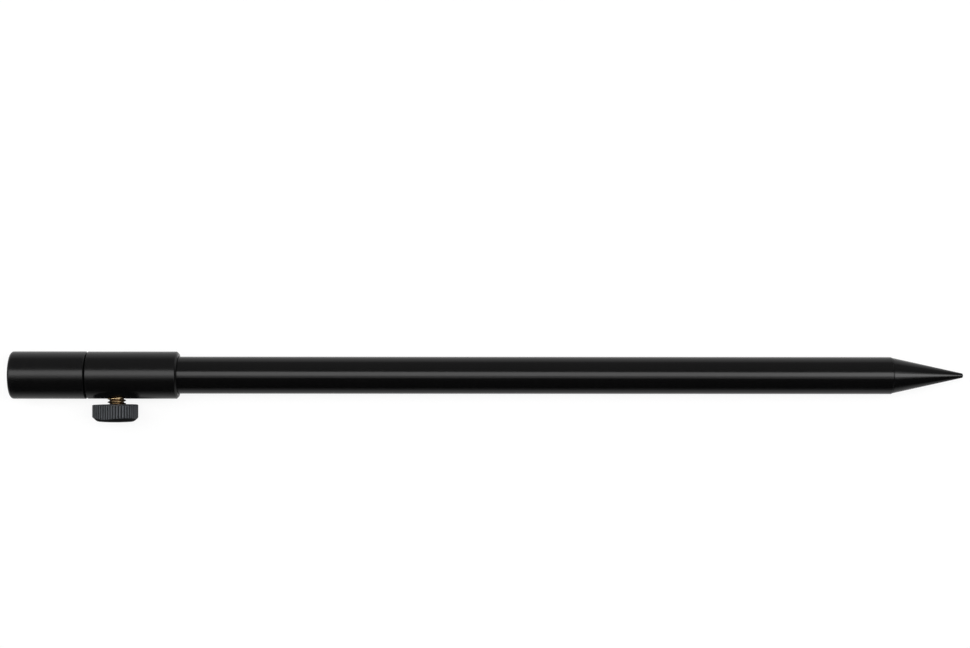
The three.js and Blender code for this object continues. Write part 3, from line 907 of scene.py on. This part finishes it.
class BANKSTICK_OT_collar(bpy.types.Operator):
    """Turns the collar and drills its screw hole"""

    bl_idname = "bank_stick.collar"
    bl_label = "Collar"

    def execute(self, context):
        size = sizes()
        low, high = span("collar")
        stem = outer_radius("stem_tube")
        bore = stem + SEAT_GAP
        flange_seat = outer_radius("guide_bush") + BOND_GAP
        bush_seat = stem + 2 * BOND_GAP + BUSH_WALL
        flange_floor = low[0] + BUSH_FLANGE + BOND_GAP
        bush_floor = end_of("guide_bush") + BOND_GAP
        shoulder = start_of("main_tube") - SEAT_GAP
        tube_seat = outer_radius("main_tube") + BOND_GAP
        chamfer, soft = size.seam_chamfer, size.soft_edge
        corners = [
            (low[0], flange_seat),
            (low[0], high[2] - chamfer),
            (low[0] + chamfer, high[2]),
            (high[0] - size.end_chamfer, high[2]),
            (high[0], high[2] - size.end_chamfer),
            (high[0], tube_seat),
            (shoulder, tube_seat),
            (shoulder, bore),
            (bush_floor, bore),
            (bush_floor, bush_seat),
            (flange_floor, bush_seat),
            (flange_floor, flange_seat),
        ]
        radii = [soft, soft, soft, size.end_soft, size.end_soft, soft, 0, 0, 0, 0, 0, 0]
        piece = turned_piece("collar_sleeve", corners, radii, closed=True)
        cut_hole(piece, screw_drill(high[2]))
        dress(piece, sleeve_material(), "barrel", "black_anodised", "collar")
        return {"FINISHED"}


class BANKSTICK_OT_tubes(bpy.types.Operator):
    """Turns the main tube, the stem that slides in it, and the ground point"""

    bl_idname = "bank_stick.tubes"
    bl_label = "Tubes and Ground Point"

    def execute(self, context):
        size = sizes()
        walls = [
            ("outer_tube", "main_tube", "barrel", TUBE_WALL),
            ("inner_tube", "stem_tube", "extension", STEM_WALL),
        ]
        for name, solid, body, wall in walls:
            low, high = span(solid)
            radius = outer_radius(solid)
            bore = radius - wall
            corners = [(low[0], bore), (low[0], radius), (high[0], radius), (high[0], bore)]
            piece = turned_piece(name, corners, [size.tube_edge] * 4, closed=True)
            dress(piece, tube_material(), body, "black_anodised", solid)
        low, high = span("ground_point")
        tube = outer_radius("main_tube")
        spigot = tube - TUBE_WALL - BOND_GAP
        shoulder = end_of("main_tube") + BOND_GAP
        corners = [
            (low[0], 0),
            (low[0], spigot),
            (shoulder, spigot),
            (shoulder, tube - CONE_STEP),
            (high[0], NOSE_RADIUS),
            (high[0], 0),
        ]
        radii = [0, size.nose_edge, 0, size.tube_edge, size.nose_edge, 0]
        piece = turned_piece("point_cone", corners, radii, closed=False)
        dress(piece, tube_material(), "barrel", "black_anodised", "ground_point")
        return {"FINISHED"}


class BANKSTICK_OT_rings(bpy.types.Operator):
    """Turns the guide bush in the collar's mouth and the rubber ring in the seam"""

    bl_idname = "bank_stick.rings"
    bl_label = "Guide Bush and Seam Ring"

    def execute(self, context):
        look = finishes()
        low, high = span("guide_bush")
        bore = outer_radius("stem_tube") + BOND_GAP
        outer = bore + BUSH_WALL
        flange = low[0] + BUSH_FLANGE
        soft = BUSH_EDGE
        corners = [
            (low[0], bore),
            (low[0], high[2]),
            (flange, high[2]),
            (flange, outer),
            (high[0], outer),
            (high[0], bore),
        ]
        piece = turned_piece("mouth_bush", corners, [soft, soft, soft, 0, soft, soft], closed=True)
        nylon = nylon_material("black_nylon_finish", look.black_nylon)
        dress(piece, nylon, "barrel", "black_nylon", "guide_bush")
        low, high = span("buffer_ring")
        section = (high[0] - low[0]) / 2
        middle = high[2] - section
        angle = round_angles(RING_ROWS)
        profile = np.stack(
            [(low[0] + high[0]) / 2 - section * np.cos(angle), middle + section * np.sin(angle)],
            axis=-1,
        )
        piece = skin("seam_ring", turned_grid(profile, RING_COLUMNS), closed=True)
        dress(piece, rubber_material(), "extension", "black_rubber", "buffer_ring")
        return {"FINISHED"}


def thread_share(turns):
    """Height of a screw thread over one pitch, none at its root and one at its crest: a flat root,
    a straight flank, a narrow flat crest and a straight flank back, with softened corners."""
    place = turns - np.floor(turns)
    from_crest = np.abs(place - CREST_MIDDLE)
    rise = np.clip((CREST_FLAT_SHARE / 2 + FLANK_SHARE - from_crest) / FLANK_SHARE, 0, 1)
    return rise - THREAD_SOFTNESS * np.sin(FULL_TURN * rise)


class BANKSTICK_OT_insert(bpy.types.Operator):
    """Cuts the female thread of the insert in the head"""

    bl_idname = "bank_stick.insert"
    bl_label = "Thread Insert"

    def execute(self, context):
        size = sizes()
        low, high = span("head_thread_insert")
        outer = high[2]
        pitch = size.socket_pitch
        root = size.socket_major / 2
        depth = THREAD_DEPTH_SHARE * pitch
        mouth = root + SOCKET_MOUTH
        rows = int(THREAD_ROWS * (high[0] - low[0]) / pitch)
        station = np.linspace(0, high[0] - low[0], rows)[:, None]
        angle = round_angles(THREAD_COLUMNS)[None, :]
        # A point's turns are its station over the pitch, less its own turn round the axis
        turns = (station + SOCKET_LEAD) / pitch - angle / FULL_TURN
        bore = root - depth + depth * thread_share(turns)
        # A cone opens the mouth
        bore = np.maximum(bore, mouth - station)
        lip = THREAD_LIP
        wall = np.array([outer - lip, outer, outer, outer - lip])[:, None]
        wall_station = np.array([high[0], high[0] - lip, low[0] + lip, low[0]])[:, None]
        flat = np.ones_like(angle)
        radius = np.concatenate([bore, wall * flat])
        along = np.concatenate([(low[0] + station) * flat, wall_station * flat])
        grid = np.stack([along, -radius * np.sin(angle), radius * np.cos(angle)], axis=-1)
        piece = skin("brass_insert", grid, closed=True)
        brass = brass_material("brass_socket_finish", 0.0, "Y", root, root - depth)
        dress(piece, brass, "extension", "brass", "head_thread_insert")
        return {"FINISHED"}


class BANKSTICK_OT_stud(bpy.types.Operator):
    """Cuts the brass stud's thread, bevelled tip, pocket for the pad, and shank"""

    bl_idname = "bank_stick.stud"
    bl_label = "Brass Stud"

    def execute(self, context):
        size = sizes()
        low, high = span("screw_stud")
        crest = screw_crest()
        pitch = size.stud_pitch
        depth = THREAD_DEPTH_SHARE * pitch
        tip = -high[1]
        shank_end = -low[1]
        knob_back = span("knob_body")[1][1]
        shank = SHANK_SHARE * crest
        pad_end = -span("screw_pad")[0][1]
        pocket = span("screw_pad")[1][2] + BOND_GAP
        thread_end = size.boss_height - knob_back
        rows = int(THREAD_ROWS * (thread_end - tip) / pitch)
        reach = np.linspace(tip, thread_end, rows)[:, None]
        angle = round_angles(THREAD_COLUMNS)[None, :]
        # On the left side, which is a quarter turn back, a crest stands at the crest's reach. From
        # there a point's turns are its reach over the pitch, less its own turn round the axis
        turns = (reach - size.crest_reach) / pitch - (angle + QUARTER_TURN) / FULL_TURN
        turns = turns + CREST_MIDDLE
        thread = crest - depth + depth * thread_share(turns)
        # A bevel cuts the thread at the tip
        thread = np.minimum(thread, crest - size.stud_bevel + (reach - tip))
        lip = THREAD_LIP
        shank_radii = np.array([shank, shank, shank - lip])[:, None]
        shank_reach = np.array([thread_end, shank_end - lip, shank_end])[:, None]
        pocket_radii = np.array([pocket, pocket, pocket + lip])[:, None]
        pocket_reach = np.array([pad_end + BOND_GAP, tip + lip, tip])[:, None]
        flat = np.ones_like(angle)
        radius = np.concatenate([pocket_radii * flat, thread, shank_radii * flat])
        along = np.concatenate([pocket_reach * flat, reach * flat, shank_reach * flat])
        across = screw_axis() + radius * np.sin(angle)
        grid = np.stack([across, -along, -radius * np.cos(angle)], axis=-1)
        piece = skin("brass_stud", grid, closed=False)
        # The stud's painted shade by the knob, full near it and gone further out
        painted_shade_span = (knob_back + size.painted_shade_near, knob_back + size.painted_shade_far)
        brass = brass_material("brass_stud_finish", screw_axis(), "X", crest - depth, crest, painted_shade_span)
        dress(piece, brass, "thumb_screw", "brass", "screw_stud")
        return {"FINISHED"}


class Knob:
    """The knob's outline, face and ribs, worked out for all columns at once. The outline is three
    arcs about the lobes' centres with straight sides between them. Each rib is an arc of a circle
    whose ends lie a rib's depth lower than its crest."""

    def __init__(self):
        self.size = size = sizes()
        self.columns = size.rib_count * RIB_COLUMNS
        column = np.arange(self.columns)
        steps = self.columns // LOBES
        third = FULL_TURN / LOBES
        arc = size.lobe_radius * third
        side = 2 * size.lobe_circle * math.sin(third / 2)
        lobe = column // steps
        along = (column % steps) / steps * (arc + side)
        turn = np.minimum(along / size.lobe_radius, third)
        slide = (np.maximum(along - arc, 0) / side)[:, None]
        first = third / 2
        angle = first + (lobe - 0.5) * third + turn
        self.way = np.stack([np.cos(angle), np.sin(angle)], axis=-1)
        here, ahead = first + lobe * third, first + (lobe + 1) * third
        centre = np.stack([np.cos(here), np.sin(here)], axis=-1) * (1 - slide)
        centre += np.stack([np.cos(ahead), np.sin(ahead)], axis=-1) * slide
        self.centre = centre * size.lobe_circle
        outline = self.centre + size.lobe_radius * self.way
        self.round = outline / np.linalg.norm(outline, axis=1, keepdims=True)
        pitch = LOBES * (arc + side) / size.rib_count
        half, depth = pitch / 2, size.rib_depth
        off_crest = ((column / RIB_COLUMNS) % 1 - 0.5) * pitch
        bend = (half**2 + depth**2) / (2 * depth)
        self.groove = ((bend - np.sqrt(bend**2 - off_crest**2)) / depth)[None]
        self.rim_growth = size.lobe_radius - size.rib_depth * self.groove
        self.inner = size.boss_height - span("knob_body")[1][1]
        self.outer = -span("knob_cap")[0][1]
        self.plate_back = -span("knob_cap")[1][1]

    def spots(self, growth):
        """Outline points: the triangle of lobe centres grown by a distance for each row, or for
        each row and column."""
        growth = np.broadcast_to(growth, (len(growth), self.columns))
        return self.centre[None] + growth[..., None] * self.way[None]

    def slopes(self, spots, growth):
        """Reach of a steep chamfer and of a shallow crown, and how far the face follows the crown.
        The chamfer falls partly with the outline's growth and partly with the distance from the
        axis, and the crown with the square of that distance."""
        size = self.size
        radius = np.linalg.norm(spots, axis=-1)
        turned = size.chamfer_turned
        rise = (1 - turned) * (size.lobe_radius - growth)
        rise = rise + turned * (size.lobe_circle + size.lobe_radius - radius)
        chamfer = self.inner + size.rim_height + size.chamfer_rise * rise
        crown = self.outer - size.crown_drop * (radius / size.lobe_radius) ** 2
        blend = np.clip(0.5 + (chamfer - crown) / (2 * size.chamfer_blend), 0, 1)
        return chamfer, crown, blend

    def face(self, spots, growth):
        """Reach of the knob's outer face: the lower of chamfer and crown, blended over a short
        width."""
        chamfer, crown, blend = self.slopes(spots, growth)
        bend = self.size.chamfer_blend * blend * (1 - blend)
        return chamfer + (crown - chamfer) * blend - bend

    def in_frame(self, spots, reach):
        """Points of the stick's frame from the knob's own: across goes along the stick, and reach
        goes out from it towards -Y."""
        reach = np.broadcast_to(reach, spots.shape[:-1])
        return np.stack([screw_axis() + spots[..., 0], -reach, spots[..., 1]], axis=-1)

    def on_face(self, growth, drop=0.0):
        """Points on the outer face where the outline has a growth, sunk by a drop."""
        spots = self.spots(growth)
        return self.in_frame(spots, self.face(spots, growth) - drop)

    def bore_and_boss(self):
        """Round rows out of the bore that holds the stud's shank, round the wider mouth of the
        bore and down the boss."""
        size = self.size
        crest = screw_crest()
        shank, mouth = SHANK_SHARE * crest + BOND_GAP, crest + BOND_GAP
        boss, lip = mouth + size.boss_wall, size.fine_edge
        step, tip = self.inner + BOND_GAP, self.inner - size.boss_height
        profile = [
            (shank, BOND_GAP - span("screw_stud")[0][1]),
            (shank, step),
            (mouth, step),
            (mouth, tip + lip),
            (mouth + lip, tip),
            (boss - lip, tip),
            (boss, tip + lip),
            (boss + size.boss_height, self.inner),
        ]
        radius, reach = np.array(profile).T[..., None]
        return self.in_frame(self.round[None] * radius[..., None], reach)

    def body(self):
        """All rows of the knob's body, from the bore round the rim and over the face down into the
        plate's recess, and how far each point lies between two ribs or on the chamfer, which marks
        its painted shade."""
        size = self.size
        fold, soft = size.rim_edge, size.chamfer_edge
        foot = self.inner + fold
        back = np.array([[size.back_start], [size.back_end]])
        turn = np.linspace(0, QUARTER_TURN, FOLD_ROWS)[:, None]
        fold_growth = size.lobe_radius - fold * (1 - np.sin(turn))
        fold_growth = fold_growth - size.rib_depth * self.groove * np.sin(turn)
        fold_reach = self.inner + fold * (1 - np.cos(turn))
        rise = rising(RIM_ROWS)
        outline = self.spots(self.rim_growth)
        side_reach = foot + (self.face(outline, self.rim_growth) - soft - foot) * rise
        side_growth = np.repeat(self.rim_growth, len(rise), axis=0)
        step = rising(CHAMFER_ROWS)
        inward = rising(FACE_ROWS)
        recess = size.plate_growth + size.plate_groove
        bevel = size.plate_edge
        lip = recess + bevel
        face_growth = self.rim_growth - soft + (lip - self.rim_growth + soft) * inward
        crowned = self.slopes(self.spots(face_growth), face_growth)[2]
        # Inwards the ribs' mark of painted shade fades with the square root of the way, and the
        # chamfer is marked for painted shade as far as the face doesn't follow the crown
        face_painted_shade = np.maximum(self.groove * (1 - np.sqrt(inward)), 1 - crowned)
        roll = rising(LIP_ROWS) * QUARTER_TURN
        recess_floor = self.plate_back - BOND_GAP
        well_reach = np.array([[recess_floor + size.fine_edge], [recess_floor]])
        blocks = [
            (self.bore_and_boss(), 0),
            (self.in_frame(self.spots(back), self.inner), 0),
            (self.in_frame(self.spots(fold_growth), fold_reach), self.groove * np.sin(turn)),
            (self.in_frame(self.spots(side_growth), side_reach), self.groove),
            (self.on_face(self.rim_growth - soft * step**2, soft * (1 - step) ** 2), self.groove),
            (self.on_face(face_growth), face_painted_shade),
            (self.on_face(lip - bevel * np.sin(roll), bevel * (1 - np.cos(roll))), 0),
            (self.in_frame(self.spots(np.full((2, 1), recess)), well_reach), 0),
        ]
        low = [np.broadcast_to(painted_shade_share, rows.shape[:2]) for rows, painted_shade_share in blocks]
        return np.concatenate([rows for rows, _ in blocks]), np.concatenate(low)

    def plate(self):
        """All rows of the inlaid plate, from the middle of its flat back round its edge and over
        its face, which carries on the body's crown."""
        size = self.size
        growth, edge, lip = size.plate_growth, size.plate_edge, size.fine_edge
        back_reach = np.array([[self.plate_back], [self.plate_back + lip]])
        turn = np.linspace(0, QUARTER_TURN, PLATE_EDGE_ROWS)[:, None]
        inner_growth = growth - 2 * edge
        inwards = np.linspace(1, 0, PLATE_ROWS + 2)[1:-1, None, None]
        crown = self.spots(np.full((1, 1), inner_growth)) * inwards
        blocks = [
            self.in_frame(self.spots(np.array([[growth - lip], [growth]])), back_reach),
            self.on_face(growth - edge * (1 - np.cos(turn)), edge * (1 - np.sin(turn))),
            self.on_face(np.full((1, 1), inner_growth)),
            self.in_frame(crown, self.face(crown, inner_growth)),
        ]
        return np.concatenate(blocks)


class BANKSTICK_OT_knob(bpy.types.Operator):
    """Shapes the three-lobed knob: boss, ribbed rim, rounded chamfer, face and inlaid plate"""

    bl_idname = "bank_stick.knob"
    bl_label = "Knob"

    def execute(self, context):
        knob = Knob()
        # The body's mark of painted shade, between the ribs and on the chamfer
        grid, valley = knob.body()
        body = skin("knob_moulding", grid, closed=False, marks={"valley": valley})
        dress(body, moulded_material(), "thumb_screw", "moulded_charcoal", "knob_body")
        plate = skin("knob_plate", knob.plate(), closed=False)
        dress(plate, moulded_material(), "thumb_screw", "moulded_charcoal", "knob_cap")
        return {"FINISHED"}


class BANKSTICK_OT_inner_pieces(bpy.types.Operator):
    """Finishes the hidden nylon pieces, whose solids already have the right shape"""

    bl_idname = "bank_stick.inner_pieces"
    bl_label = "Inner Pieces"

    def execute(self, context):
        look = finishes()
        black = nylon_material("black_nylon_finish", look.black_nylon)
        white = nylon_material("white_nylon_finish", look.white_nylon)
        for solid, material in (
            ("stem_end_plug", black),
            ("glide_ring", white),
            ("screw_pad", white),
        ):
            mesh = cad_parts[solid].data
            mesh.materials.clear()
            mesh.materials.append(material)
        return {"FINISHED"}


# Stage


def floor_material():
    """White floor: part of its white is its own for the camera and for reflections, and the rest is
    lit, so that the stick's shadow stays on it. Reflections see it darker under the stick and round
    the knob, a painted shadow."""
    light = stage()
    material = bpy.data.materials.new("white_floor")
    material.use_nodes = True
    tree = material.node_tree
    tree.nodes.clear()
    path = node(tree, "ShaderNodeLightPath", (-900, 0)).outputs
    place = node(tree, "ShaderNodeTexCoord", (-1300, -200)).outputs["Object"]
    axes = separated(tree, place, (-1100, -200))
    # Bands of the floor's white in reflections across the stick; the band under the stick is a
    # painted shadow
    across = ranged(tree, axes["Y"], -FLOOR_REACH, FLOOR_REACH, (-900, -200))
    fade = node(tree, "ShaderNodeValToRGB", (-700, -200))
    ramp = fade.color_ramp.elements
    while len(ramp) < len(FLOOR_BANDS):
        ramp.new(0.5)
    for stop, (y, setting) in zip(ramp, FLOOR_BANDS):
        level = getattr(light, setting)
        stop.position = (y + FLOOR_REACH) / (2 * FLOOR_REACH)
        stop.color = (level, level, level, 1)
    tree.links.new(across, fade.inputs["Fac"])
    # A painted shadow round the knob, which only reflections see
    knob_low, knob_high = span("knob_body")
    from_knob = node(tree, "ShaderNodeVectorMath", (-900, -450), operation="DISTANCE")
    from_knob.inputs[1].default_value = (screw_axis(), knob_high[1], knob_low[2])
    tree.links.new(place, from_knob.inputs[0])
    clear = ranged(tree, from_knob.outputs["Value"], *KNOB_SHADE, (-700, -450), smooth=True)
    open_floor = maths(tree, "MULTIPLY", fade.outputs["Color"], clear, (-500, -250))
    glossy, passed = path["Is Glossy Ray"], path["Is Transmission Ray"]
    mirrored = maths(tree, "MAXIMUM", glossy, passed, (-700, 100))
    bounced = between(tree, mirrored, light.floor_bounce, open_floor, (-500, 0))
    own_white = between(tree, path["Is Camera Ray"], bounced, light.floor_glow, (-350, 100))
    glow = node(tree, "ShaderNodeEmission", (-200, 100))
    tree.links.new(own_white, glow.inputs["Strength"])
    lit = node(tree, "ShaderNodeBsdfDiffuse", (-200, -100))
    lit.inputs["Color"].default_value = (light.floor_tone, light.floor_tone, light.floor_tone, 1)
    total = node(tree, "ShaderNodeAddShader", (0, 0))
    out = node(tree, "ShaderNodeOutputMaterial", (200, 0))
    tree.links.new(glow.outputs[0], total.inputs[0])
    tree.links.new(lit.outputs[0], total.inputs[1])
    tree.links.new(total.outputs[0], out.inputs[0])
    return material


def surroundings():
    """White to the camera. For light and reflections, dim in front of the stick and brighter
    behind it."""
    light = stage()
    world = bpy.data.worlds.new("studio")
    bpy.context.scene.world = world
    world.use_nodes = True
    tree = world.node_tree
    tree.nodes.clear()
    path = node(tree, "ShaderNodeLightPath", (-900, 300))
    coordinates = node(tree, "ShaderNodeTexCoord", (-900, 0))
    axes = separated(tree, coordinates.outputs["Generated"], (-700, 0))
    levels = (light.sky_front, light.sky_back)
    sky = ranged(tree, axes["Y"], SKY_FROM, SKY_TO, (-500, 0), smooth=True, to=levels)
    level = between(tree, path.outputs["Is Camera Ray"], sky, CAMERA_SKY, (-300, 100))
    ground = node(tree, "ShaderNodeBackground", (-100, 100), inputs={"Color": (1, 1, 1, 1)})
    tree.links.new(level, ground.inputs["Strength"])
    out = node(tree, "ShaderNodeOutputWorld", (100, 100))
    tree.links.new(ground.outputs[0], out.inputs[0])


def lamp(name, watts, place, aim, wide, deep, slant=0.0):
    """A rectangular soft lamp at a place, turned to face another. Its width runs along the stick,
    turned about the way it faces by the slant."""
    data = bpy.data.lights.new(name, "AREA")
    data.shape = "RECTANGLE"
    data.energy, data.size, data.size_y = watts, wide, deep
    made = bpy.data.objects.new(name, data)
    place, aim = np.array(place, float), np.array(aim, float)
    back = place - aim
    back /= np.linalg.norm(back)
    side = np.cross((math.sin(slant), math.cos(slant), 0.0), back)
    side /= np.linalg.norm(side)
    up = np.cross(back, side)
    turn = np.eye(4)
    turn[:3, 0], turn[:3, 1], turn[:3, 2], turn[:3, 3] = side, up, back, place
    made.matrix_world = Matrix(turn.tolist())
    made.visible_camera = False
    bpy.context.scene.collection.objects.link(made)


class BANKSTICK_OT_stage(bpy.types.Operator):
    """Sets the white floor, the soft lamps and the camera above the stick"""

    bl_idname = "bank_stick.stage"
    bl_label = "Stage"

    def execute(self, context):
        light = stage()
        low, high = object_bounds()
        middle = ((low[0] + high[0]) / 2, 0, 0)
        mesh = bpy.data.meshes.new("floor")
        corners = [(-1, -1), (1, -1), (1, 1), (-1, 1)]
        points = [(FLOOR_HALF * x, FLOOR_HALF * y, low[2]) for x, y in corners]
        mesh.from_pydata(points, [], [(0, 1, 2, 3)])
        floor = bpy.data.objects.new("floor", mesh)
        context.scene.collection.objects.link(floor)
        mesh.materials.append(floor_material())
        floor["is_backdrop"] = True
        surroundings()
        for name, place, wide, deep in STRIPS:
            below = (place[0], place[1], 0)
            lamp(name, getattr(light, name), place, below, wide, deep, STRIP_SLANT)
        for name, factor, place in SIDES:
            lamp(name, factor * light.side_lamps, place, middle, *SIDE_SIZE)
        camera_data = bpy.data.cameras.new("camera")
        camera_data.lens = light.camera_lens
        camera_data.sensor_width = SENSOR_WIDTH
        camera_data.clip_end = CAMERA_SIGHT
        camera = bpy.data.objects.new("camera", camera_data)
        camera.location = (CAMERA_X, CAMERA_Y, light.camera_height)
        camera.rotation_euler = (0, 0, light.camera_roll)
        context.scene.collection.objects.link(camera)
        context.scene.camera = camera
        context.scene.view_settings.view_transform = "Standard"
        return {"FINISHED"}


# Sidebar and build

OPERATORS = (
    BANKSTICK_OT_head,
    BANKSTICK_OT_collar,
    BANKSTICK_OT_tubes,
    BANKSTICK_OT_rings,
    BANKSTICK_OT_insert,
    BANKSTICK_OT_stud,
    BANKSTICK_OT_knob,
    BANKSTICK_OT_inner_pieces,
    BANKSTICK_OT_stage,
)


class BANKSTICK_PT_sidebar(bpy.types.Panel):
    """Lists the stick's sizes, finishes and stage settings, and the buttons that build it"""

    bl_idname = "BANKSTICK_PT_sidebar"
    bl_label = "Bank Stick"
    bl_space_type = "VIEW_3D"
    bl_region_type = "UI"
    bl_category = "Bank Stick"

    def draw(self, context):
        layout = self.layout
        for title, group in (("Sizes", sizes()), ("Finishes", finishes()), ("Stage", stage())):
            box = layout.box()
            box.label(text=title)
            for key in group.__annotations__:
                box.prop(group, key)
        for operator in OPERATORS:
            layout.operator(operator.bl_idname)


GROUPS = (BankStickSizes, BankStickFinishes, BankStickStage)
CLASSES = (*GROUPS, *OPERATORS, BANKSTICK_PT_sidebar)


def register():
    """Registers the classes and gives the scene its three groups of settings."""
    for made in CLASSES:
        bpy.utils.register_class(made)
    scene = bpy.types.Scene
    scene.bank_stick_sizes = bpy.props.PointerProperty(type=BankStickSizes)
    scene.bank_stick_finishes = bpy.props.PointerProperty(type=BankStickFinishes)
    scene.bank_stick_stage = bpy.props.PointerProperty(type=BankStickStage)


def unregister():
    """Takes the settings off the scene again and unregisters the classes."""
    for key in ("bank_stick_sizes", "bank_stick_finishes", "bank_stick_stage"):
        delattr(bpy.types.Scene, key)
    for made in reversed(CLASSES):
        bpy.utils.unregister_class(made)


def main():
    """Builds every piece and the stage."""
    register()
    build = bpy.ops.bank_stick
    build.head()
    build.collar()
    build.tubes()
    build.rings()
    build.insert()
    build.stud()
    build.knob()
    build.inner_pieces()
    build.stage()


if __name__ == "__main__":
    main()
